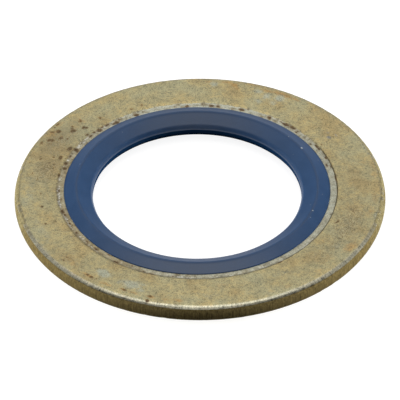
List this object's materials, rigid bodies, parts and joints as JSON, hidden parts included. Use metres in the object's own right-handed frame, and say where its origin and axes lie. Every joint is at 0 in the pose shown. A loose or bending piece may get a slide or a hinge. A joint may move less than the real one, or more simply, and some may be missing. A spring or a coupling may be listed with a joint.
{
  "type": "drain plug gasket",
  "caption": "Flat plated steel washer with a blue rubber sealing ring moulded into its bore, which seals an oil drain plug against the pan.",
  "frame": {"origin": "on the axis of the rubber ring's bore, halfway through the thickness of the washer", "axes": "+Z along the bore's axis, out of the face seen from above; +X to the right and +Y away as pictured"},
  "size_m": [0.0319, 0.032, 0.0022],
  "materials": {
    "plated_steel": "worn yellow-passivated zinc plate, satin, with rust specks and rubbed grey patches",
    "blue_rubber": "moulded blue rubber with a soft satin sheen"
  },
  "bodies": {
    "root": {"steel_washer": "plated_steel", "rubber_ring": "blue_rubber"}
  },
  "joints": []
}
